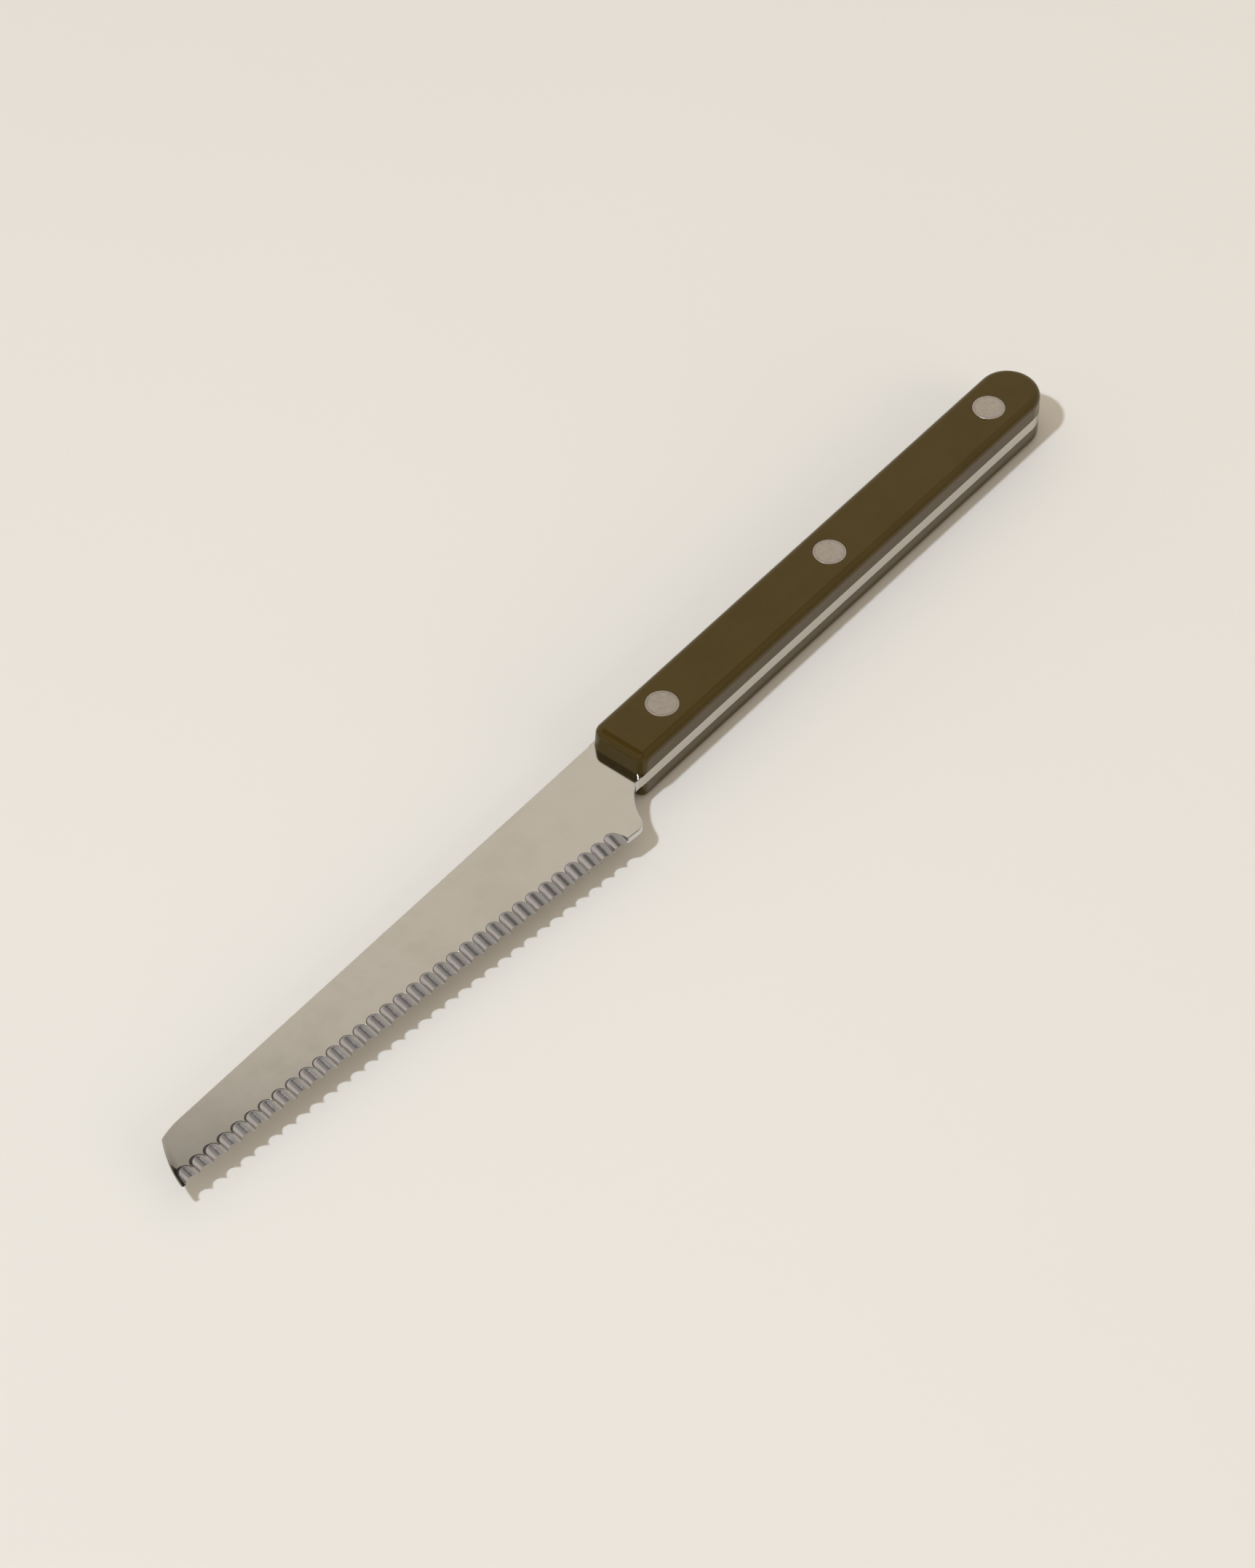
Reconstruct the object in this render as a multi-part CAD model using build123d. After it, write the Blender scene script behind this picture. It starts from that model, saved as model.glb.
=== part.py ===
from build123d import *
import os
from math import acos, atan2, cos, hypot, radians, sin, sqrt, tan

# A tomato knife that lies flat. The tip is at -X, the butt at +X, the blade's back at +Y
# and the scalloped edge at -Y. The origin is in the middle of the knife, on the table.

# Whole knife
overall_length = 230.6
blade_width = 18.7          # from the back to the lowest point of the heel
handle_length = 119.0
handle_width = 11.63
handle_thickness = 10.47
overrun = 6.0               # how far every cutter reaches past what it cuts
quarter_turn = 90.0

# Steel
tang_thickness = 2.3
tip_thickness = 1.05
steel_edge_radius = 0.22

# Blade outline
tip_curve_length = 9.8      # the stretch of the back that bends down to the tip
tip_curve_radius = 19.5
tip_slant = 4.9             # how far the upper tip corner lies behind the lower one
tip_edge_bulge = 0.53
tip_upper_corner_radius = 0.9
tip_lower_corner_radius = 0.26
edge_angle = 5.0            # degrees between the cutting edge and the back
heel_setback = 8.0          # from the handle's front to where the heel's nose begins
heel_radius = 2.7
heel_nose_angle = 25.6      # degrees, where the hollow of the choil takes over from the nose
choil_corner_radius = 1.8   # where that hollow meets the handle's straight edge

# Scallops
scallop_pitch = 3.034
scallop_radius = 1.9
first_scallop_setback = 12.24   # from the handle's front to the scallop at the heel
last_scallop_clearance = 1.6    # at least this much edge stays between the last one and the tip
scallop_reach_heel = 2.85       # from the edge up the face, at the heel, halfway and at the tip
scallop_reach_middle = 3.7
scallop_reach_tip = 2.9
scallop_end_depth = 0.65        # how deep the ball end of a scallop goes into the face
back_bevel_angle = 24.5         # degrees
back_bevel_setback = 4.6        # from the handle's front to the bevel's end at the heel
back_bevel_runout = 0.6

# Handle scales
scale_front_setback = 1.68  # from the front of the handle's steel to the scale's front wall
scale_front_lean = 7.0      # degrees that the front wall leans back
scale_back_corner_radius = 2.2
scale_edge_corner_radius = 1.5
scale_edge_radius = 1.45
corner_angle = 8.0          # faces that meet at less than this run smoothly into each other

# Rivets, each a solid post pressed into a hollow sleeve
front_rivet_setback = 14.21     # from the handle's front
rear_rivet_setback = 11.73      # from the butt
rivet_head_diameter = 6.0
rivet_head_thickness = 1.3
rivet_head_chamfer = 0.06
sleeve_diameter = 4.0
post_diameter = 2.8
sleeve_end_gap = 0.3
post_end_gap = 0.5
head_seat_clearance = 0.03
shank_clearance = 0.04

# Shares
half_share = 0.5
level_share = 0.9           # how much of a face's normal points up or down if it counts as level

# Places that follow from the sizes
butt_x = overall_length / 2
tip_x = -overall_length / 2
handle_front_x = butt_x - handle_length
back_y = blade_width / 2
heel_low_y = -blade_width / 2
handle_axis_y = back_y - handle_width / 2
handle_edge_y = back_y - handle_width
butt_radius = handle_width / 2
middle_z = handle_thickness / 2
scale_thickness = (handle_thickness - tang_thickness) / 2
blade_root_x = handle_front_x + scale_front_setback
blade_length = blade_root_x - tip_x
edge_slope = tan(radians(edge_angle))

# The heel's nose is an arc that ends tangent to the cutting edge
nose_start_x = handle_front_x - heel_setback
nose_start_y = heel_low_y + heel_radius - heel_radius * cos(radians(edge_angle))
nose_centre_x = nose_start_x + heel_radius * sin(radians(edge_angle))
nose_centre_y = heel_low_y + heel_radius

front_rivet_x = handle_front_x + front_rivet_setback
rear_rivet_x = butt_x - rear_rivet_setback
rivets = {
    "front": front_rivet_x,
    "middle": (front_rivet_x + rear_rivet_x) / 2,
    "rear": rear_rivet_x,
}

# As many scallops as the edge has room for
first_scallop_x = handle_front_x - first_scallop_setback
scallop_run = first_scallop_x - last_scallop_clearance - tip_x
scallop_count = int(scallop_run / scallop_pitch) + 1


def edge_y(x):
    """Height of the cutting edge in plan, which climbs slowly to the tip."""
    return nose_start_y + (nose_start_x - x) * edge_slope


def half_thickness(x):
    """Half the steel's thickness: even in the tang, tapered along the blade."""
    share = max(blade_root_x - x, 0) / blade_length
    return (tang_thickness + (tip_thickness - tang_thickness) * share) / 2


def scallop_reach(x):
    """How far a scallop reaches up the face: longest in the middle of the blade."""
    share = (blade_root_x - x) / blade_length
    ends = scallop_reach_heel + (scallop_reach_tip - scallop_reach_heel) * share
    middle_of_ends = (scallop_reach_heel + scallop_reach_tip) / 2
    return ends + (scallop_reach_middle - middle_of_ends) * 4 * share * (1 - share)


def steel_outline():
    """Plan of blade and tang in one piece, as a flat face."""
    tip_curve_x = tip_x + tip_curve_length
    upper_tip_x = tip_x + tip_slant
    curve_run = tip_curve_x - upper_tip_x
    curve_drop = tip_curve_radius - sqrt(tip_curve_radius**2 - curve_run**2)
    upper_tip = (upper_tip_x, back_y - curve_drop)
    lower_tip = (tip_x, edge_y(tip_x))
    chord_x = lower_tip[0] - upper_tip[0]
    chord_y = lower_tip[1] - upper_tip[1]
    chord = hypot(chord_x, chord_y)
    bulge_x = (upper_tip[0] + lower_tip[0]) / 2 + tip_edge_bulge * chord_y / chord
    bulge_y = (upper_tip[1] + lower_tip[1]) / 2 - tip_edge_bulge * chord_x / chord
    turn = radians(heel_nose_angle)
    nose_end = (nose_centre_x + heel_radius * cos(turn), nose_centre_y - heel_radius * sin(turn))
    mid_turn = radians(quarter_turn - heel_nose_angle) / 2 + turn
    nose_middle = (
        nose_centre_x + heel_radius * cos(mid_turn),
        nose_centre_y - heel_radius * sin(mid_turn),
    )
    choil_start = (handle_front_x, handle_edge_y)
    with BuildSketch() as plan:
        with BuildLine():
            Line((butt_x - butt_radius, back_y), (tip_curve_x, back_y))
            RadiusArc((tip_curve_x, back_y), upper_tip, -tip_curve_radius)
            ThreePointArc(upper_tip, (bulge_x, bulge_y), lower_tip)
            Line(lower_tip, (nose_start_x, nose_start_y))
            ThreePointArc((nose_start_x, nose_start_y), nose_middle, nose_end)
            TangentArc(nose_end, choil_start, tangent=(sin(turn), cos(turn)))
            Line(choil_start, (butt_x - butt_radius, handle_edge_y))
            ThreePointArc(
                (butt_x - butt_radius, handle_edge_y),
                (butt_x, handle_axis_y),
                (butt_x - butt_radius, back_y),
            )
        make_face()
        fillet(plan.vertices().sort_by_distance(upper_tip)[0], tip_upper_corner_radius)
        fillet(plan.vertices().sort_by_distance(lower_tip)[0], tip_lower_corner_radius)
        fillet(plan.vertices().sort_by_distance(choil_start)[0], choil_corner_radius)
    return plan.sketch


def steel_slab(*side_points):
    """The outline's stretch that lies inside a side profile, which runs right across it."""
    with BuildPart() as slab:
        with BuildSketch():
            add(steel_outline())
        extrude(amount=handle_thickness)
        with BuildSketch(Plane.XZ.offset(-blade_width)):
            with BuildLine():
                Polyline(*side_points, close=True)
            make_face()
        extrude(amount=2 * blade_width, mode=Mode.INTERSECT)
    return slab.part


def steel_blank():
    """The outline at its real thickness: an even tang and a blade tapered to the tip."""
    tang_half = tang_thickness / 2
    tip_half = tip_thickness / 2
    tang = steel_slab(
        (blade_root_x, middle_z - tang_half),
        (butt_x + overrun, middle_z - tang_half),
        (butt_x + overrun, middle_z + tang_half),
        (blade_root_x, middle_z + tang_half),
    )
    blade = steel_slab(
        (blade_root_x, middle_z - tang_half),
        (blade_root_x, middle_z + tang_half),
        (tip_x, middle_z + tip_half),
        (tip_x, middle_z - tip_half),
    )
    faces = blade.faces().filter_by(lambda face: abs(face.normal_at().Z) > level_share)
    rims = faces.edges().filter_by(lambda edge: edge.center().X < blade_root_x - steel_edge_radius)
    return tang + blade.fillet(steel_edge_radius, rims)


def back_bevel_cutter():
    """Takes the underside up to the edge, which lies in the middle of the steel."""
    slope = radians(back_bevel_angle)
    along = Vector(-1, edge_slope, 0).normalized()
    across = Vector(0, 0, 1).cross(along) * -1
    start_x = handle_front_x - back_bevel_setback
    start = Vector(start_x, edge_y(start_x), middle_z)
    out_of_blade = across * sin(slope) * -1 + Vector(0, 0, -cos(slope))
    facet = Plane(origin=start, x_dir=along, z_dir=out_of_blade)
    side = 1 if facet.y_dir.dot(across) > 0 else -1
    far = blade_length + overrun
    deep = tang_thickness / 2 / sin(slope) + overrun
    with BuildPart() as cutter:
        with BuildSketch(facet):
            with BuildLine():
                Polyline(
                    (0, -side * overrun),
                    (0, 0),
                    (back_bevel_runout, side * tang_thickness / 2 / sin(slope)),
                    (back_bevel_runout, side * deep),
                    (far, side * deep),
                    (far, -side * overrun),
                    close=True,
                )
            make_face()
        extrude(amount=overrun)
    return cutter.part


def scallop_cutter():
    """A round bar with a ball end, pointing along +Z from the ball's centre."""
    length = scallop_reach_middle + 2 * overrun
    bar = Cylinder(scallop_radius, length, align=(Align.CENTER, Align.CENTER, Align.MIN))
    return bar + Sphere(scallop_radius)


def scallop_plane(x):
    """Where the bar goes: its ridges meet the edge in the middle of the steel."""
    half_pitch = scallop_pitch / 2
    ridge_depth = sqrt(scallop_radius**2 - half_pitch**2)
    ball_height = scallop_radius - scallop_end_depth
    ball_setback = sqrt(scallop_radius**2 - ball_height**2)
    drop = half_thickness(x)
    run = scallop_reach(x) - ball_setback
    fall = ball_height + drop
    tilt = acos(ridge_depth / hypot(run, fall)) - atan2(run, fall)
    ball_centre = Vector(x, edge_y(x) + run, middle_z + fall)
    return Plane(origin=ball_centre, x_dir=(1, 0, 0), z_dir=(0, -cos(tilt), -sin(tilt)))


def blade_and_tang():
    """One piece of steel: blade with its scalloped edge, and a full tang with rivet holes."""
    steel = steel_blank() - back_bevel_cutter()
    bar = scallop_cutter()
    places = [first_scallop_x - scallop_pitch * number for number in range(scallop_count)]
    steel = steel - [scallop_plane(x) * bar for x in places]
    hole_radius = sleeve_diameter / 2 + shank_clearance
    holes = [
        Pos(x, handle_axis_y, middle_z) * Cylinder(hole_radius, tang_thickness + overrun)
        for x in rivets.values()
    ]
    return steel - holes


def scale_blank():
    """Handle half on its flat inner face at z = 0: leaning front wall, full round butt."""
    lean = scale_thickness * tan(radians(scale_front_lean))
    with BuildPart() as blank:
        with BuildSketch():
            with BuildLine():
                Line((blade_root_x, back_y), (butt_x - butt_radius, back_y))
                ThreePointArc(
                    (butt_x - butt_radius, back_y),
                    (butt_x, handle_axis_y),
                    (butt_x - butt_radius, handle_edge_y),
                )
                Line((butt_x - butt_radius, handle_edge_y), (blade_root_x, handle_edge_y))
                Line((blade_root_x, handle_edge_y), (blade_root_x, back_y))
            make_face()
        extrude(amount=scale_thickness)
        with BuildSketch(Plane.XZ.offset(-blade_width)):
            with BuildLine():
                Polyline(
                    (blade_root_x, 0),
                    (blade_root_x - overrun, 0),
                    (blade_root_x - overrun, scale_thickness),
                    (blade_root_x + lean, scale_thickness),
                    close=True,
                )
            make_face()
        extrude(amount=2 * blade_width, mode=Mode.SUBTRACT)
        front_wall = blank.faces().sort_by(Axis.X)[0]
        corners = front_wall.edges().sort_by(Axis.Y)
        fillet(corners[-1], scale_back_corner_radius)
        corners = blank.faces().sort_by(Axis.X)[0].edges().sort_by(Axis.Y)
        fillet(corners[0], scale_edge_corner_radius)
        fillet(sharp_outer_edges(blank.part), scale_edge_radius)
    return blank.part


def sharp_outer_edges(solid):
    """Edges off the inner face whose two faces meet at a real corner."""
    inner_face = solid.faces().sort_by(Axis.Z)[0]
    found = []
    for edge in solid.edges():
        if any(edge.is_same(rim) for rim in inner_face.edges()):
            continue
        sides = [face for face in solid.faces() if any(edge.is_same(e) for e in face.edges())]
        middle = edge.position_at(half_share)
        if sides[0].normal_at(middle).get_angle(sides[1].normal_at(middle)) > corner_angle:
            found.append(edge)
    return found


def upper_scale():
    """Handle half with its rivet holes and the round seats for the rivet heads."""
    seat_radius = rivet_head_diameter / 2 + head_seat_clearance
    hole_radius = sleeve_diameter / 2 + shank_clearance
    seat_z = scale_thickness - rivet_head_thickness
    cutters = []
    for x in rivets.values():
        cutters.append(Pos(x, handle_axis_y, 0) * Cylinder(hole_radius, handle_thickness))
        seat = Cylinder(seat_radius, overrun, align=(Align.CENTER, Align.CENTER, Align.MIN))
        cutters.append(Pos(x, handle_axis_y, seat_z) * seat)
    return Pos(0, 0, middle_z + tang_thickness / 2) * (scale_blank() - cutters)


def rivet_head():
    """Flat disc with a chamfered rim, its outer face at z = 0 and its body below."""
    disc = Cylinder(
        rivet_head_diameter / 2,
        rivet_head_thickness,
        align=(Align.CENTER, Align.CENTER, Align.MAX),
    )
    return chamfer(disc.edges().group_by(Axis.Z)[-1], rivet_head_chamfer)


def rivet_post(x):
    """Solid half of a rivet: head flush with the upper face, shank down into the sleeve."""
    shank_length = handle_thickness - 2 * rivet_head_thickness - post_end_gap
    shank = Cylinder(
        post_diameter / 2, shank_length, align=(Align.CENTER, Align.CENTER, Align.MAX)
    )
    post = rivet_head() + Pos(0, 0, -rivet_head_thickness) * shank
    return Pos(x, handle_axis_y, handle_thickness) * post


def rivet_sleeve(x):
    """Hollow half of a rivet: head flush with the lower face, bored tube up to the post's head."""
    tube_top = handle_thickness - rivet_head_thickness - sleeve_end_gap
    tube = Cylinder(sleeve_diameter / 2, tube_top, align=(Align.CENTER, Align.CENTER, Align.MIN))
    bore = Cylinder(
        post_diameter / 2 + shank_clearance,
        handle_thickness,
        align=(Align.CENTER, Align.CENTER, Align.MIN),
    )
    head = Rot(2 * quarter_turn, 0, 0) * rivet_head()
    return Pos(x, handle_axis_y, 0) * (head + tube - Pos(0, 0, rivet_head_thickness) * bore)


def build_nodes():
    """Every piece of the knife by its name."""
    top = upper_scale()
    nodes = {
        "blade_and_tang": blade_and_tang(),
        "upper_scale": top,
        "lower_scale": top.mirror(Plane.XY.offset(middle_z)),
    }
    for name, x in rivets.items():
        nodes[f"{name}_rivet_post"] = rivet_post(x)
        nodes[f"{name}_rivet_sleeve"] = rivet_sleeve(x)
    return nodes


if __name__ == "__main__":
    os.makedirs("parts", exist_ok=True)
    for node, solid in build_nodes().items():
        export_step(solid, f"parts/{node}.step")
        print(node, round(solid.volume, 2), "mm3")
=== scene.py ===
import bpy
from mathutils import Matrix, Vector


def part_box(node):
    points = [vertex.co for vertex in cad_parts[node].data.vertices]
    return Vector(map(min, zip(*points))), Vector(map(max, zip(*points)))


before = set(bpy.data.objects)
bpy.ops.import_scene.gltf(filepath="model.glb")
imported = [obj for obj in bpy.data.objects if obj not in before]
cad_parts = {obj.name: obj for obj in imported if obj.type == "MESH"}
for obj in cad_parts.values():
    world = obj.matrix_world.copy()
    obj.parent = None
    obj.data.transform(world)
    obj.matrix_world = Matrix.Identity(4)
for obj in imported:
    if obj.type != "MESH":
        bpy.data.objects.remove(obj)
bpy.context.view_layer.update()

# %% [markdown]
# A tomato knife, dressed for a photograph
#
# The CAD model already holds every real shape of this knife: the steel with its scalloped
# edge, the two handle scales and the six halves of its three rivets. What it lacks is its
# finish. So this lesson builds materials, a table top, light and a camera, and it leaves the
# CAD meshes as they are.

STEEL = "blade_and_tang"
SCALES = ("upper_scale", "lower_scale")
RIVETS = tuple(
    f"{place}_rivet_{half}" for place in ("front", "middle", "rear") for half in ("post", "sleeve")
)

steel_low, steel_high = (Vector(corner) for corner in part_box(STEEL))
scale_low, scale_high = (Vector(corner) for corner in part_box(SCALES[0]))
tip_x = steel_low.x
MM = 0.001
HANDLE_LENGTH = 119.0 * MM
choil_x = steel_high.x - HANDLE_LENGTH
root_x = scale_low.x
heel_low_y = steel_low.y
handle_axis_y = (scale_low.y + scale_high.y) / 2
middle_z = (steel_low.z + steel_high.z) / 2
print("blade", round((choil_x - tip_x) / MM, 1), "mm long")
print("scales", round((scale_high.x - scale_low.x) / MM, 1), "mm long")

# %% [markdown]
# Starting with nothing selected
#
# A freshly loaded frame leaves its objects selected, and an operator acts on all that is
# selected. Deselecting first means that each step touches only its own object.

# %% Deselect everything
bpy.ops.object.select_all(action="DESELECT")


# %% [markdown]
# Small helpers for node trees
#
# Every finish below is a node tree. Short helpers keep the trees readable. They add a node
# and set its fields, feed a socket, do a sum, make a smooth step from 0 to 1 and mix two
# colours. Three more start a shader group, put a group to use and start a material.

# %% Node helpers
def add_node(tree, kind, **fields):
    """A node of that kind with its fields set."""
    node = tree.nodes.new(kind)
    for name, value in fields.items():
        setattr(node, name, value)
    return node


def feed(tree, socket, value):
    """Connects value to the socket if it is an output, and otherwise types it in."""
    if isinstance(value, bpy.types.NodeSocket):
        tree.links.new(value, socket)
    else:
        socket.default_value = value


def math(tree, operation, *values):
    """The output of a math node on one, two or three values."""
    node = add_node(tree, "ShaderNodeMath", operation=operation)
    for socket, value in zip(node.inputs, values):
        feed(tree, socket, value)
    return node.outputs[0]


def step(tree, value, start, end, low=0.0, high=1.0):
    """A smooth step that is low before start and high after end."""
    node = add_node(tree, "ShaderNodeMapRange", interpolation_type="SMOOTHSTEP")
    limits = {"From Min": start, "From Max": end, "To Min": low, "To Max": high}
    for name, number in limits.items():
        feed(tree, node.inputs[name], number)
    feed(tree, node.inputs["Value"], value)
    return node.outputs["Result"]


def blend(tree, share, first, second):
    """Two colours mixed by share. A Mix node keeps its colour sockets after its others."""
    node = add_node(tree, "ShaderNodeMix", data_type="RGBA")
    feed(tree, node.inputs[0], share)
    feed(tree, node.inputs[6], first)
    feed(tree, node.inputs[7], second)
    return node.outputs[2]


def blend_vectors(tree, share, first, second):
    """Two vectors mixed by share."""
    node = add_node(tree, "ShaderNodeMix", data_type="VECTOR")
    feed(tree, node.inputs[0], share)
    feed(tree, node.inputs[4], first)
    feed(tree, node.inputs[5], second)
    return node.outputs[1]


def new_group(name, inputs, outputs):
    """An empty shader group, with its input node and output node."""
    group = bpy.data.node_groups.new(name, "ShaderNodeTree")
    for label, kind, value in inputs:
        socket = group.interface.new_socket(name=label, in_out="INPUT", socket_type=kind)
        if value is not None:
            socket.default_value = value
    for label, kind in outputs:
        group.interface.new_socket(name=label, in_out="OUTPUT", socket_type=kind)
    given = group.nodes.new("NodeGroupInput").outputs
    return group, given, group.nodes.new("NodeGroupOutput").inputs


def use_group(tree, group, **values):
    """The group as a node in that tree, with its inputs set by name."""
    node = add_node(tree, "ShaderNodeGroup", node_tree=group)
    for name, value in values.items():
        feed(tree, node.inputs[name], value)
    return node.outputs


def new_material(name):
    """A material with its tree, its Principled shader and the object's own coordinates."""
    material = bpy.data.materials.new(name)
    material.use_nodes = True
    tree = material.node_tree
    shader = tree.nodes["Principled BSDF"]
    place = tree.nodes.new("ShaderNodeTexCoord").outputs["Object"]
    return material, tree, shader, place


# %% [markdown]
# Cloudy polish
#
# No polished surface is even. A buffing wheel leaves cloudy patches that are a little
# rougher, and fingers add to them. One noise, read at two sizes, gives a mask for them. Steel
# and handle both need it, so it is a group with its own inputs.

# %% Group: cloudy polish
FLOAT, VECTOR = "NodeSocketFloat", "NodeSocketVector"


def noise(tree, place, size, detail=2.0, roughness=0.5, distortion=0.0):
    """Noise around 0.5, with features about size metres across. A linked size is a scale."""
    node = add_node(tree, "ShaderNodeTexNoise")
    feed(tree, node.inputs["Vector"], place)
    linked = isinstance(size, bpy.types.NodeSocket)
    feed(tree, node.inputs["Scale"], size if linked else 1 / size)
    feed(tree, node.inputs["Detail"], detail)
    feed(tree, node.inputs["Roughness"], roughness)
    feed(tree, node.inputs["Distortion"], distortion)
    return node.outputs["Fac"]


def cloudy_polish_group():
    """Mask between 0 and 1: broad clouds broken up by finer ones."""
    group, given, out = new_group(
        "cloudy_polish",
        [
            ("Place", VECTOR, None),
            ("Scale", FLOAT, 60.0),
            ("Low", FLOAT, 0.4),
            ("High", FLOAT, 0.7),
        ],
        [("Mask", FLOAT)],
    )
    broad = noise(group, given["Place"], given["Scale"], detail=3.0, roughness=0.6)
    finer_scale = math(group, "MULTIPLY", given["Scale"], 4.3)
    fine = noise(group, given["Place"], finer_scale, detail=4.0, roughness=0.7)
    both = math(group, "MULTIPLY_ADD", fine, 0.35, math(group, "MULTIPLY", broad, 0.65))
    feed(group, out["Mask"], step(group, both, given["Low"], given["High"]))
    return group


cloudy_polish = cloudy_polish_group()
print("group", cloudy_polish.name)

# %% [markdown]
# Grinding lines
#
# A belt or a wheel leaves fine parallel lines. Noise that is stretched far along one
# direction makes them: its height feeds a Bump node, and its value also changes the
# roughness a little. The lines on the steel run from its back to its edge.


# %% Group: grinding lines
def grinding_lines_group():
    """Height of fine lines that run along the vector Stretch is smallest in."""
    group, given, out = new_group(
        "grinding_lines",
        [("Place", VECTOR, None), ("Stretch", VECTOR, None), ("Fineness", FLOAT, 9000.0)],
        [("Height", FLOAT)],
    )
    scaled = add_node(group, "ShaderNodeVectorMath", operation="MULTIPLY")
    feed(group, scaled.inputs[0], given["Place"])
    feed(group, scaled.inputs[1], given["Stretch"])
    lines = noise(group, scaled.outputs[0], given["Fineness"], detail=3.0, roughness=0.65)
    feed(group, out["Height"], lines)
    return group


grinding_lines = grinding_lines_group()
print("group", grinding_lines.name)

# %% [markdown]
# Where the scallops are
#
# The scallops are ground by another wheel than the face, so their finish differs: it is
# duller, and its lines run from the back to the edge. The wheel also leaves a steep little
# wall round the upper end of each scallop, and a thin dark line along it is painted shade:
# the dark reflection that wall shows, widest towards the tip. The material finds all
# this from the shape of the edge, which is a straight line in plan: a point's place along it
# gives the number of its scallop, and that gives the round bar with a ball end that the
# scallop is the print of. The bar's own direction at each point is smoother than the mesh's
# facets, so the group hands it on as the surface's normal.

# %% Steel: places in the steel
EDGE_SLOPE = 0.0875
HEEL_SETBACK = 8.0 * MM
SCALLOP_BAND = 4.4 * MM
SCALLOP_PITCH = 3.034 * MM
SCALLOP_COUNT = 33
FIRST_SCALLOP_SETBACK = 12.24 * MM
SCALLOP_RADIUS = 1.9 * MM
SCALLOP_END_DEPTH = 0.65 * MM
END_RIM_WIDTH, END_RIM_CLEAR = 0.4 * MM, 0.02 * MM
REACH_HEEL, REACH_MIDDLE, REACH_TIP = 2.85 * MM, 3.7 * MM, 2.9 * MM
TANG_THICKNESS, TIP_THICKNESS = 2.3 * MM, 1.05 * MM
TIP_SLANT = Vector((4.9 * MM, 9.0 * MM, 0.0))
TIP_BULGE = 0.53 * MM

ball_height = SCALLOP_RADIUS - SCALLOP_END_DEPTH
ball_setback = (SCALLOP_RADIUS**2 - ball_height**2) ** 0.5
ridge_depth = (SCALLOP_RADIUS**2 - (SCALLOP_PITCH / 2) ** 2) ** 0.5


def split(tree, vector):
    """The three parts of a vector."""
    parts = add_node(tree, "ShaderNodeSeparateXYZ")
    feed(tree, parts.inputs[0], vector)
    return parts.outputs


def join(tree, x, y, z):
    """A vector from its three parts."""
    whole = add_node(tree, "ShaderNodeCombineXYZ")
    for socket, value in zip(whole.inputs, (x, y, z)):
        feed(tree, socket, value)
    return whole.outputs[0]


def vector_math(tree, operation, *values):
    """The vector that a vector math node gives for one or two vectors."""
    node = add_node(tree, "ShaderNodeVectorMath", operation=operation)
    for socket, value in zip(node.inputs, values):
        feed(tree, socket, value)
    return node.outputs["Vector"]


def above_edge(tree, x, y):
    """How far a point lies from the cutting edge's line, towards the back."""
    line = math(tree, "MULTIPLY", math(tree, "SUBTRACT", choil_x - HEEL_SETBACK, x), EDGE_SLOPE)
    return math(tree, "SUBTRACT", math(tree, "SUBTRACT", y, heel_low_y), line)


def half_thickness(tree, x):
    """Half the steel's thickness at that place, and the place as a share of the blade."""
    share = math(tree, "DIVIDE", math(tree, "SUBTRACT", root_x, x), root_x - tip_x)
    thinner = (TIP_THICKNESS - TANG_THICKNESS) / 2
    return math(tree, "MULTIPLY_ADD", share, thinner, TANG_THICKNESS / 2), share


def bar_surface(group, place, middle_x, run, fall, end_share):
    """Direction towards the bar's axis, and the distance from the bar's surface.

    Past the ball's centre the wall only turns up near its rim, by end_share."""
    run_square, fall_square = math(group, "POWER", run, 2.0), math(group, "POWER", fall, 2.0)
    reach = math(group, "SQRT", math(group, "ADD", run_square, fall_square))
    tilt = math(group, "ARCCOSINE", math(group, "DIVIDE", ridge_depth, reach))
    tilt = math(group, "SUBTRACT", tilt, math(group, "ARCTAN2", run, fall))
    centre_y = math(group, "SUBTRACT", run, above_edge(group, middle_x, 0.0))
    centre = join(group, middle_x, centre_y, math(group, "ADD", fall, middle_z))
    x, y, z = split(group, vector_math(group, "SUBTRACT", place, centre))
    cosine, sine = math(group, "COSINE", tilt), math(group, "SINE", tilt)
    down_y, down_z = math(group, "MULTIPLY", y, cosine), math(group, "MULTIPLY", z, sine)
    along = math(group, "MULTIPLY", math(group, "ADD", down_y, down_z), -1.0)
    past = math(group, "MINIMUM", along, 0.0)
    across_y = math(group, "MULTIPLY_ADD", along, cosine, y)
    across_z = math(group, "MULTIPLY_ADD", along, sine, z)
    across = join(group, x, across_y, across_z)
    ball_y, ball_z = math(group, "MULTIPLY", past, cosine), math(group, "MULTIPLY", past, sine)
    ball = vector_math(group, "SUBTRACT", across, join(group, 0.0, ball_y, ball_z))
    from_axis = add_node(group, "ShaderNodeVectorMath", operation="LENGTH")
    feed(group, from_axis.inputs[0], ball)
    off_bar = math(group, "SUBTRACT", from_axis.outputs["Value"], SCALLOP_RADIUS)
    outward = blend_vectors(group, end_share, across, ball)
    inward = vector_math(group, "MULTIPLY", outward, (-1.0, -1.0, -1.0))
    turned = add_node(
        group,
        "ShaderNodeVectorTransform",
        vector_type="NORMAL",
        convert_from="OBJECT",
        convert_to="WORLD",
    )
    feed(group, turned.inputs[0], vector_math(group, "NORMALIZE", inward))
    return turned.outputs[0], math(group, "ABSOLUTE", off_bar)


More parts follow.
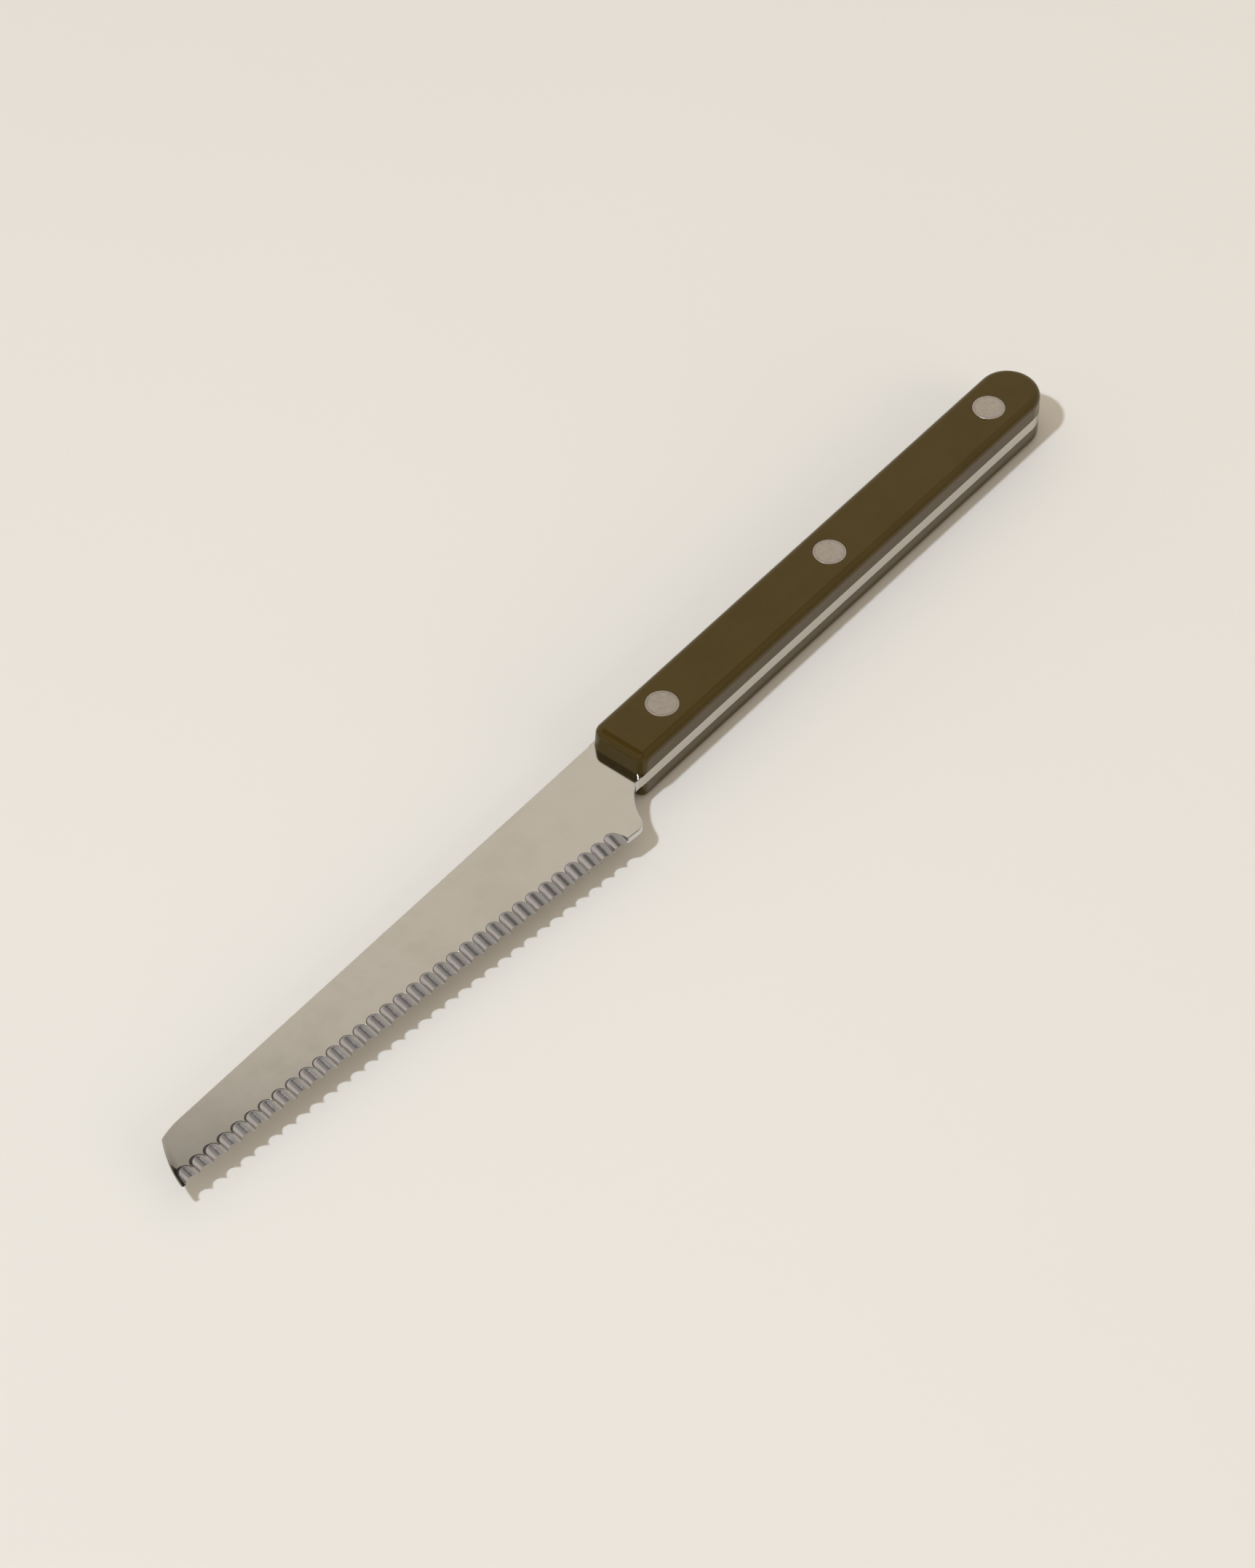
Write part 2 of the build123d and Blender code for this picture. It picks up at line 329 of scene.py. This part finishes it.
def scallop_places_group():
    """Where each point lies in its scallop, and which way the scallop's wall faces there."""
    group, given, out = new_group(
        "scallop_places",
        [("Place", VECTOR, None)],
        [
            ("Above Edge", FLOAT),
            ("Off Bar", FLOAT),
            ("From End", FLOAT),
            ("Over End", FLOAT),
            ("Aside", FLOAT),
            ("Share", FLOAT),
            ("Normal", VECTOR),
        ],
    )
    x, y, _ = split(group, given["Place"])
    first_x = choil_x - FIRST_SCALLOP_SETBACK
    number = math(group, "DIVIDE", math(group, "SUBTRACT", first_x, x), SCALLOP_PITCH)
    number = math(group, "MAXIMUM", math(group, "ROUND", number), 0.0)
    number = math(group, "MINIMUM", number, SCALLOP_COUNT - 1.0)
    middle_x = math(group, "SUBTRACT", first_x, math(group, "MULTIPLY", number, SCALLOP_PITCH))
    half, share = half_thickness(group, middle_x)
    ends = math(group, "MULTIPLY_ADD", share, REACH_TIP - REACH_HEEL, REACH_HEEL)
    swell = math(group, "MULTIPLY", share, math(group, "SUBTRACT", 1.0, share))
    rise = 4 * (REACH_MIDDLE - (REACH_HEEL + REACH_TIP) / 2)
    reach = math(group, "MULTIPLY_ADD", swell, rise, ends)
    run = math(group, "SUBTRACT", reach, ball_setback)
    fall = math(group, "ADD", half, ball_height)
    aside = math(group, "SUBTRACT", x, middle_x)
    over_end = math(group, "SUBTRACT", above_edge(group, middle_x, y), run)
    away = math(group, "ADD", math(group, "POWER", aside, 2.0), math(group, "POWER", over_end, 2.0))
    from_end = math(group, "SUBTRACT", math(group, "SQRT", away), ball_setback)
    near_rim = step(group, from_end, -END_RIM_WIDTH, -END_RIM_CLEAR)
    facing, off_bar = bar_surface(group, given["Place"], middle_x, run, fall, near_rim)
    feed(group, out["Above Edge"], above_edge(group, x, y))
    feed(group, out["Off Bar"], off_bar)
    feed(group, out["From End"], from_end)
    feed(group, out["Over End"], over_end)
    feed(group, out["Aside"], aside)
    feed(group, out["Share"], share)
    feed(group, out["Normal"], facing)
    return group


scallop_places = scallop_places_group()
print("group", scallop_places.name, "for", SCALLOP_COUNT, "scallops")


def tip_rim(tree, place):
    """How far inside the blade's slanted end a point lies, and the share of the way up it.

    The first holds only near that end, because the curve of the end is a parabola here."""
    x, y, _ = split(tree, place)
    lower_y = heel_low_y + (choil_x - HEEL_SETBACK - tip_x) * EDGE_SLOPE
    along = TIP_SLANT.normalized()
    right = math(tree, "SUBTRACT", x, tip_x)
    up = math(tree, "SUBTRACT", y, lower_y)
    outward = math(tree, "MULTIPLY_ADD", up, along.x, math(tree, "MULTIPLY", right, -along.y))
    run = math(tree, "MULTIPLY_ADD", up, along.y, math(tree, "MULTIPLY", right, along.x))
    share = math(tree, "DIVIDE", run, TIP_SLANT.length)
    bulge = math(tree, "MULTIPLY", share, math(tree, "SUBTRACT", 1.0, share))
    return math(tree, "SUBTRACT", math(tree, "MULTIPLY", bulge, 4 * TIP_BULGE), outward), share


# %% [markdown]
# What the steel shows
#
# The face has a satin polish with faint clouds, and the room in it does the rest. Near the tip
# shade is painted into the colour: the slanted end is painted nearly black low down, with a
# dark wedge beside the last scallop, and the steel next to it and the rim where the back bends
# down are painted darker. The lips over the scallops get painted shade as well.
# Each of these is a mask between 0 and 1, and the masks mix the tones.

# %% Steel: masks of the scallops and of the painted shade on their lips
BAND_BLUR = 0.3 * MM
WALL_NEAR, WALL_FAR = 0.05 * MM, 0.07 * MM
# Width, side and strength of the painted shade on the lip over each scallop.
LIP_WIDTH, LIP_WIDTH_GAIN = 0.045 * MM, 0.26 * MM
LIP_SHADE_STRENGTH, LIP_SHADE_STRENGTH_GAIN = 0.3, 0.62
LIP_SIDE = 0.9 * MM
LIP_RIGHT_SHARE = 0.2
LIP_START, LIP_FULL = -0.2 * MM, 0.3 * MM


def scallop_masks(tree, spot):
    """Mask of the band that the scallops lie in, and of their ground walls."""
    near_edge = step(tree, spot["Above Edge"], SCALLOP_BAND, SCALLOP_BAND - BAND_BLUR)
    on_wall = step(tree, spot["Off Bar"], WALL_FAR, WALL_NEAR)
    return near_edge, math(tree, "MULTIPLY", near_edge, on_wall)


def lip_shade_mask(tree, spot, near_edge):
    """Mask of the painted shade on the lip over each scallop: widest towards the tip, and on its
    left.
    """
    towards_tip = math(tree, "POWER", spot["Share"], 4.0)
    width = math(tree, "MULTIPLY_ADD", towards_tip, LIP_WIDTH_GAIN, LIP_WIDTH)
    leftward = step(tree, spot["Aside"], LIP_SIDE, -LIP_SIDE, LIP_RIGHT_SHARE, 1.0)
    off_lip = math(tree, "ABSOLUTE", spot["From End"])
    off_lip = math(tree, "DIVIDE", off_lip, math(tree, "MULTIPLY", width, leftward))
    lip = math(tree, "MULTIPLY", step(tree, off_lip, 1.5, 0.6), near_edge)
    lip = math(tree, "MULTIPLY", lip, step(tree, spot["Over End"], LIP_START, LIP_FULL))
    strength = math(tree, "MULTIPLY_ADD", spot["Share"], LIP_SHADE_STRENGTH_GAIN, LIP_SHADE_STRENGTH)
    return math(tree, "MULTIPLY", lip, strength)


# %% Steel: masks of the painted shade at the tip
# Where the painted shade at the tip lies, and how strong it is.
RIM_FAR, RIM_NEAR = 0.42 * MM, 0.25 * MM
TIP_SHADE_FAR, TIP_SHADE_NEAR = 1.5 * MM, 0.1 * MM
TIP_SHADE_STRENGTH = 0.55
WEDGE_WIDTH = 0.85 * MM
WEDGE_BLUR = 0.08 * MM
CURVE_FAR, CURVE_NEAR = 12.0 * MM, 9.0 * MM
CURVE_LOW, CURVE_HIGH = 6.0 * MM, 7.0 * MM


def tip_rim_shade(tree, inside_tip, along_tip, side_x, ground):
    """Mask of the painted shade on the rim of the slanted end, with the dark wedge beside the last
    scallop.
    """
    at_rim = step(tree, inside_tip, RIM_FAR, RIM_NEAR)
    facing_out = step(tree, side_x, -0.15, -0.5)
    facing_out = math(tree, "MAXIMUM", facing_out, step(tree, along_tip, 0.27, 0.16))
    rim = math(tree, "MULTIPLY", at_rim, facing_out)
    wedge_width = step(tree, along_tip, 0.52, 0.22, 0.0, WEDGE_WIDTH)
    past_wedge = math(tree, "SUBTRACT", inside_tip, wedge_width)
    wedge = step(tree, past_wedge, WEDGE_BLUR, -WEDGE_BLUR)
    wedge = math(tree, "MULTIPLY", wedge, math(tree, "SUBTRACT", 1.0, ground))
    wedge = math(tree, "MULTIPLY", wedge, step(tree, along_tip, 0.62, 0.5))
    return math(tree, "MAXIMUM", rim, wedge)


def tip_side_shade(tree, inside_tip, along_tip):
    """Mask of painted shade on the steel beside the slanted end, most of it low down."""
    near_tip = step(tree, inside_tip, TIP_SHADE_FAR, TIP_SHADE_NEAR)
    low_down = step(tree, along_tip, 0.95, 0.2, 0.0, TIP_SHADE_STRENGTH)
    return math(tree, "MULTIPLY", near_tip, low_down)


def curved_back_shade_mask(tree, x, level, above):
    """Mask of painted shade on the rim where the back bends down to the tip."""
    on_rim = step(tree, level, 0.97, 0.8)
    rim = math(tree, "MULTIPLY", on_rim, step(tree, x, tip_x + CURVE_FAR, tip_x + CURVE_NEAR))
    return math(tree, "MULTIPLY", rim, step(tree, above, CURVE_LOW, CURVE_HIGH))


# %% Steel: its material
FACE_TONE = (0.668, 0.660, 0.645, 1.0)
CLOUD_TONE = (0.645, 0.635, 0.612, 1.0)
SCALLOP_TONE = (0.672, 0.655, 0.638, 1.0)
# Painted shade: a near black for the lips over the scallops and for the tip's lower end.
SHADE_BLACK_TONE = (0.045, 0.038, 0.030, 1.0)
# Painted shade: a dark grey for the rims at the tip, and a darker steel beside the slanted end.
RIM_SHADE_TONE = (0.420, 0.385, 0.340, 1.0)
TIP_SHADE_TONE = (0.230, 0.205, 0.175, 1.0)
TANG_TONE = (0.580, 0.545, 0.485, 1.0)
POLISH_ROUGHNESS, CLOUD_ROUGHNESS = 0.088, 0.02
SCALLOP_ROUGHNESS, LINE_ROUGHNESS = 0.045, 0.12
TANG_ROUGHNESS = 0.2
LINE_STRETCH, LINE_FINENESS = (1.0, 0.03, 0.05), 5200.0
LINE_HEIGHT = 0.014 * MM
WAVE_SIZE = 1.3 * MM
WAVE_HEIGHT = 0.032 * MM
FACE_BUMP = 0.005


def steel_tone(tree, place, spot, clouds, ground, near_edge, side_x, level):
    """The steel's colour with its painted shade at the tip and over the scallop lips, and the mask
    of the tang's ground side.
    """
    tone = blend(tree, clouds, FACE_TONE, CLOUD_TONE)
    tone = blend(tree, ground, tone, SCALLOP_TONE)
    x, _, _ = split(tree, place)
    in_handle = step(tree, x, choil_x, choil_x + MM)
    tang_side = math(tree, "MULTIPLY", step(tree, level, 0.4, 0.1), in_handle)
    tone = blend(tree, tang_side, tone, TANG_TONE)
    # Painted shade on the slanted end, on the steel beside it, and on the rim where the back bends
    # down.
    inside_tip, along_tip = tip_rim(tree, place)
    tone = blend(tree, tip_side_shade(tree, inside_tip, along_tip), tone, TIP_SHADE_TONE)
    curved_back_shade = curved_back_shade_mask(tree, x, level, spot["Above Edge"])
    tone = blend(tree, curved_back_shade, tone, RIM_SHADE_TONE)
    rim_shade = tip_rim_shade(tree, inside_tip, along_tip, side_x, ground)
    rim_shade_tone = blend(tree, step(tree, along_tip, 0.75, 0.25), RIM_SHADE_TONE, SHADE_BLACK_TONE)
    tone = blend(tree, rim_shade, tone, rim_shade_tone)
    # Painted shade over the lip of each scallop.
    return blend(tree, lip_shade_mask(tree, spot, near_edge), tone, SHADE_BLACK_TONE), tang_side


def steel_material():
    """Satin-polished knife steel with its scallops ground by another wheel."""
    material, tree, shader, place = new_material("satin_knife_steel")
    shader.inputs["Metallic"].default_value = 1.0
    normal = tree.nodes.new("ShaderNodeNewGeometry").outputs["Normal"]
    side_x, _, side_z = split(tree, normal)
    level = math(tree, "ABSOLUTE", side_z)
    spot = use_group(tree, scallop_places, Place=place)
    near_edge, ground = scallop_masks(tree, spot)
    clouds = use_group(tree, cloudy_polish, Place=place, Scale=70.0, Low=0.42, High=0.66)["Mask"]
    tone, tang_side = steel_tone(tree, place, spot, clouds, ground, near_edge, side_x, level)
    feed(tree, shader.inputs["Base Color"], tone)

    lines = use_group(
        tree, grinding_lines, Place=place, Stretch=LINE_STRETCH, Fineness=LINE_FINENESS
    )["Height"]
    off_middle = math(tree, "MULTIPLY", math(tree, "SUBTRACT", lines, 0.5), ground)
    roughness = math(tree, "MULTIPLY_ADD", clouds, CLOUD_ROUGHNESS, POLISH_ROUGHNESS)
    roughness = math(tree, "MULTIPLY_ADD", ground, SCALLOP_ROUGHNESS, roughness)
    roughness = math(tree, "MULTIPLY_ADD", off_middle, LINE_ROUGHNESS, roughness)
    roughness = math(tree, "MULTIPLY_ADD", tang_side, TANG_ROUGHNESS, roughness)
    feed(tree, shader.inputs["Roughness"], roughness)

    waves = noise(tree, place, WAVE_SIZE, detail=2.0)
    height = math(tree, "MULTIPLY", lines, LINE_HEIGHT)
    height = math(tree, "MULTIPLY_ADD", waves, WAVE_HEIGHT, height)
    bump = add_node(tree, "ShaderNodeBump")
    feed(tree, bump.inputs["Height"], height)
    strength = math(tree, "MULTIPLY_ADD", ground, 1.0 - FACE_BUMP, FACE_BUMP)
    feed(tree, bump.inputs["Strength"], strength)
    feed(tree, bump.inputs["Distance"], 1.0)
    exact = blend_vectors(tree, ground, normal, spot["Normal"])
    feed(tree, bump.inputs["Normal"], vector_math(tree, "NORMALIZE", exact))
    feed(tree, shader.inputs["Normal"], bump.outputs["Normal"])
    return material


# %% [markdown]
# Glossy handle plastic
#
# The scales are a dark olive moulding compound with a high polish. Most of what the eye sees
# on it is its reflection of the room, so the body colour is dark and strongly coloured, and
# the surface is nearly smooth. Faint clouds and the soft waves that moulding and buffing
# leave keep it from looking like glass.

# %% Handle: its material
OLIVE = (0.0515, 0.0328, 0.0055, 1.0)
OLIVE_DEEP = (0.0460, 0.0290, 0.0045, 1.0)
OLIVE_IOR = 1.44
OLIVE_TINT = (1.0, 0.84, 0.58, 1.0)
OLIVE_ROUGHNESS, OLIVE_CLOUD_ROUGHNESS = 0.07, 0.05
ORANGE_PEEL_SIZE = 2.6 * MM
ORANGE_PEEL_DEPTH = 0.004 * MM


def olive_material():
    """Glossy dark olive plastic."""
    material, tree, shader, place = new_material("glossy_olive_plastic")
    clouds = use_group(tree, cloudy_polish, Place=place, Scale=90.0, Low=0.4, High=0.65)["Mask"]
    feed(tree, shader.inputs["Base Color"], blend(tree, clouds, OLIVE, OLIVE_DEEP))
    shader.inputs["IOR"].default_value = OLIVE_IOR
    shader.inputs["Specular Tint"].default_value = OLIVE_TINT
    roughness = math(tree, "MULTIPLY_ADD", clouds, OLIVE_CLOUD_ROUGHNESS, OLIVE_ROUGHNESS)
    feed(tree, shader.inputs["Roughness"], roughness)
    orange_peel = noise(tree, place, ORANGE_PEEL_SIZE, detail=2.0)
    bump = add_node(tree, "ShaderNodeBump")
    feed(tree, bump.inputs["Height"], orange_peel)
    feed(tree, bump.inputs["Strength"], 0.3)
    feed(tree, bump.inputs["Distance"], ORANGE_PEEL_DEPTH)
    feed(tree, shader.inputs["Normal"], bump.outputs["Normal"])
    return material


# %% [markdown]
# Rivets
#
# The rivet heads were ground flush with the handle and then polished with it. Their soft
# metal tears a little under the wheel, which leaves a faint mottled surface, and each head is
# a bit darker just inside its rim.

# %% Rivets: their material
RIVET_TONE = (0.600, 0.560, 0.520, 1.0)
RIVET_DARK = (0.500, 0.465, 0.430, 1.0)
RIVET_RING = (0.400, 0.370, 0.335, 1.0)
RING_RADIUS = 2.62 * MM
RING_WIDTH = 0.22 * MM
RING_STRENGTH = 0.7
MOTTLE_SIZE = 0.7 * MM
MOTTLE_DEPTH = 0.01 * MM


def from_rivet(tree, place):
    """Distance from the nearest rivet's axis."""
    x, y, _ = split(tree, place)
    nearest = 1.0
    for node in RIVETS[::2]:
        low, high = (Vector(corner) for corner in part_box(node))
        aside = math(tree, "SUBTRACT", x, (low.x + high.x) / 2)
        nearest = math(tree, "MINIMUM", math(tree, "ABSOLUTE", aside), nearest)
    across = math(tree, "SUBTRACT", y, handle_axis_y)
    along_square, across_square = math(tree, "POWER", nearest, 2.0), math(tree, "POWER", across, 2.0)
    return math(tree, "SQRT", math(tree, "ADD", along_square, across_square))


def rivet_material():
    """Satin, faintly mottled soft metal."""
    material, tree, shader, place = new_material("mottled_rivet_metal")
    shader.inputs["Metallic"].default_value = 1.0
    mottle = noise(tree, place, MOTTLE_SIZE, detail=4.0, roughness=0.7, distortion=0.8)
    tone = blend(tree, step(tree, mottle, 0.4, 0.7), RIVET_TONE, RIVET_DARK)
    off_ring = math(tree, "SUBTRACT", from_rivet(tree, place), RING_RADIUS)
    ring = step(tree, math(tree, "ABSOLUTE", off_ring), RING_WIDTH, 0.0, 0.0, RING_STRENGTH)
    feed(tree, shader.inputs["Base Color"], blend(tree, ring, tone, RIVET_RING))
    feed(tree, shader.inputs["Roughness"], math(tree, "MULTIPLY_ADD", mottle, 0.15, 0.25))
    bump = add_node(tree, "ShaderNodeBump")
    feed(tree, bump.inputs["Height"], mottle)
    feed(tree, bump.inputs["Strength"], 0.25)
    feed(tree, bump.inputs["Distance"], MOTTLE_DEPTH)
    feed(tree, shader.inputs["Normal"], bump.outputs["Normal"])
    return material


# %% Giving each CAD node its finish
def dress(node, material):
    """Puts the material in every slot of a CAD node, whose mesh stays as it is."""
    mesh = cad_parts[node].data
    if not mesh.materials:
        mesh.materials.append(material)
    for number in range(len(mesh.materials)):
        mesh.materials[number] = material
    print(node, len(mesh.polygons), "triangles,", material.name)


steel = steel_material()
olive = olive_material()
rivet_metal = rivet_material()
dress(STEEL, steel)
for node in SCALES:
    dress(node, olive)
for node in RIVETS:
    dress(node, rivet_metal)

# %% [markdown]
# The table top
#
# The knife lies on a plain pale surface with a faint warm tone. One large plane is enough.
# It reaches far past the picture, so that low views still see it.

# %% Floor
FLOOR_TONE = (0.744, 0.718, 0.668, 1.0)
FLOOR_LIGHT = (0.760, 0.733, 0.683, 1.0)
FLOOR_SIZE = 12.0
FLOOR_MOTTLE_SIZE = 0.12


def floor_material():
    """Matt pale card with the slightest mottling."""
    material, tree, shader, place = new_material("pale_card")
    mottle = noise(tree, place, FLOOR_MOTTLE_SIZE, detail=3.0)
    feed(tree, shader.inputs["Base Color"], blend(tree, mottle, FLOOR_TONE, FLOOR_LIGHT))
    feed(tree, shader.inputs["Roughness"], math(tree, "MULTIPLY_ADD", mottle, 0.1, 0.8))
    shader.inputs["Specular IOR Level"].default_value = 0.2
    return material


bpy.ops.mesh.primitive_plane_add(size=FLOOR_SIZE, location=(0, 0, 0))
floor = bpy.context.active_object
floor.name = "table_top"
floor.data.materials.append(floor_material())
print("floor", FLOOR_SIZE, "m wide")
bpy.ops.object.select_all(action="DESELECT")

# %% [markdown]
# Room light
#
# Polished steel shows the room more than itself. The room here has a pale wall behind the
# knife that ends some way up, dimmer walls at its sides, and a dark ceiling. Each is a soft
# panel in the sky, given by its heading and its height in degrees.


# %% Group: a soft panel in the sky
def sky_panel_group():
    """Mask of a panel, between two heights and on both sides of a heading, in degrees."""
    group, given, out = new_group(
        "sky_panel",
        [
            ("Way", VECTOR, None),
            ("Heading", FLOAT, 0.0),
            ("Half Width", FLOAT, 40.0),
            ("Low", FLOAT, 0.0),
            ("High", FLOAT, 50.0),
            ("Side Blur", FLOAT, 10.0),
            ("End Blur", FLOAT, 4.0),
        ],
        [("Mask", FLOAT)],
    )
    turned = add_node(group, "ShaderNodeVectorRotate", rotation_type="Z_AXIS")
    feed(group, turned.inputs["Vector"], given["Way"])
    heading = math(group, "RADIANS", given["Heading"])
    feed(group, turned.inputs["Angle"], math(group, "MULTIPLY", heading, -1.0))
    x, y, z = split(group, turned.outputs[0])
    aside = math(group, "ABSOLUTE", math(group, "DEGREES", math(group, "ARCTAN2", y, x)))
    height = math(group, "DEGREES", math(group, "ARCSINE", z))
    outside = math(group, "ADD", given["Half Width"], given["Side Blur"])
    above = math(group, "ADD", given["High"], given["End Blur"])
    below = math(group, "SUBTRACT", given["Low"], given["End Blur"])
    within = step(group, aside, outside, given["Half Width"])
    low_enough = step(group, height, above, given["High"])
    high_enough = step(group, height, below, given["Low"])
    between = math(group, "MULTIPLY", low_enough, high_enough)
    feed(group, out["Mask"], math(group, "MULTIPLY", within, between))
    return group


sky_panel = sky_panel_group()
print("group", sky_panel.name)

# %% World
CEILING = (0.110, 0.100, 0.090, 1.0)
PANEL_FIELDS = ("Heading", "Half Width", "Low", "High", "Side Blur", "End Blur")
PANELS = (
    # tone, and then the fields in the order above, in degrees
    ((0.735, 0.664, 0.556, 1.0), 45.0, 50.0, -2.0, 51.35, 12.0, 1.8),
    ((0.590, 0.542, 0.518, 1.0), -30.0, 35.0, -2.0, 62.0, 12.0, 13.0),
    ((0.400, 0.378, 0.352, 1.0), -115.0, 60.0, -2.0, 46.0, 16.0, 12.0),
    ((0.650, 0.590, 0.500, 1.0), 138.0, 36.0, 31.0, 49.0, 14.0, 2.5),
    ((0.650, 0.590, 0.500, 1.0), 138.0, 36.0, 7.0, 25.0, 14.0, 2.0),
    ((0.330, 0.305, 0.285, 1.0), -95.0, 75.0, 60.0, 95.0, 30.0, 12.0),
    ((0.140, 0.129, 0.120, 1.0), -114.0, 27.0, 58.0, 79.0, 18.0, 8.0),
)


def build_world():
    """Dark ceiling with soft pale panels around it."""
    world = bpy.data.worlds.new("studio_room")
    bpy.context.scene.world = world
    world.use_nodes = True
    tree = world.node_tree
    way = tree.nodes.new("ShaderNodeTexCoord").outputs["Generated"]
    tone = CEILING
    for panel_tone, *values in PANELS:
        panel = use_group(tree, sky_panel, Way=way, **dict(zip(PANEL_FIELDS, values)))
        tone = blend(tree, panel["Mask"], tone, panel_tone)
    background = tree.nodes["Background"]
    feed(tree, background.inputs["Color"], tone)
    background.inputs["Strength"].default_value = 1.0


build_world()
print("room", len(PANELS), "panels")

# %% [markdown]
# Key lamp
#
# One small lamp above the near left throws the shadow to the right and away, with a soft
# rim. A Light Falloff node keeps its strength the same near and far, so that the table is
# as evenly lit as in the photograph.

# %% Key lamp
LAMP_PLACE = Vector((-0.368, 0.093, 0.710))
LAMP_RADIUS = 0.026
LAMP_POWER = 24.0
LAMP_COLOUR = (0.800, 0.885, 1.0)


def key_lamp():
    """A small round lamp of even strength."""
    lamp = bpy.data.lights.new("key_lamp", "POINT")
    lamp.shadow_soft_size = LAMP_RADIUS
    lamp.energy = LAMP_POWER
    lamp.color = LAMP_COLOUR
    lamp.use_nodes = True
    tree = lamp.node_tree
    falloff = tree.nodes.new("ShaderNodeLightFalloff")
    falloff.inputs["Strength"].default_value = 1.0
    feed(tree, tree.nodes["Emission"].inputs["Strength"], falloff.outputs["Constant"])
    holder = bpy.data.objects.new("key_lamp", lamp)
    holder.location = LAMP_PLACE
    bpy.context.scene.collection.objects.link(holder)


key_lamp()

# %% [markdown]
# Fill lamps
#
# A room's walls and table throw light back into the shadows. Two wide weak lamps stand in
# for that: one overhead, and one low on the edge's side that reaches under the blade. They
# are kept out of mirror reflections, where the panels of the room already show.

# %% Fill lamps
FILL_COLOUR = (1.0, 0.855, 0.64)
FILL_LAMPS = (
    # name, place, size, power
    ("overhead_fill", Vector((0.0, 0.0, 2.2)), 3.0, 11.6),
    ("low_fill", Vector((0.3, -2.2, 1.0)), 1.5, 14.0),
)


def fill_lamp(name, place, size, power):
    """A wide weak panel turned to the knife, which the polished surfaces don't mirror."""
    lamp = bpy.data.lights.new(name, "AREA")
    lamp.size = size
    lamp.energy = power
    lamp.color = FILL_COLOUR
    holder = bpy.data.objects.new(name, lamp)
    holder.location = place
    holder.rotation_euler = (-place).to_track_quat("-Z", "Y").to_euler()
    holder.visible_glossy = False
    bpy.context.scene.collection.objects.link(holder)


for lamp_row in FILL_LAMPS:
    fill_lamp(*lamp_row)
print("lamps", 1 + len(FILL_LAMPS))

# %% [markdown]
# Camera
#
# The camera looks down at the knife at about 48 degrees from a metre away, with a long lens.
# It is placed in the knife's own frame, so the knife crosses the picture from lower left to
# upper right.

# %% Camera
CAMERA_PLACE = Vector((-0.4855, -0.3933, 0.6986))
CAMERA_AIM = Vector((-0.00026, 0.00234, 0.0))
LENS_MM = 126.17
SENSOR_MM = 36.0

camera = bpy.data.cameras.new("photo_camera")
camera.lens = LENS_MM
camera.sensor_width = SENSOR_MM
camera.clip_start = 0.01
camera.clip_end = 50.0
camera_holder = bpy.data.objects.new("photo_camera", camera)
camera_holder.location = CAMERA_PLACE
camera_holder.rotation_euler = (CAMERA_AIM - CAMERA_PLACE).to_track_quat("-Z", "Y").to_euler()
bpy.context.scene.collection.objects.link(camera_holder)
bpy.context.scene.camera = camera_holder
bpy.context.scene.view_settings.view_transform = "Standard"
print("camera", round((CAMERA_PLACE - CAMERA_AIM).length, 3), "m from the knife")
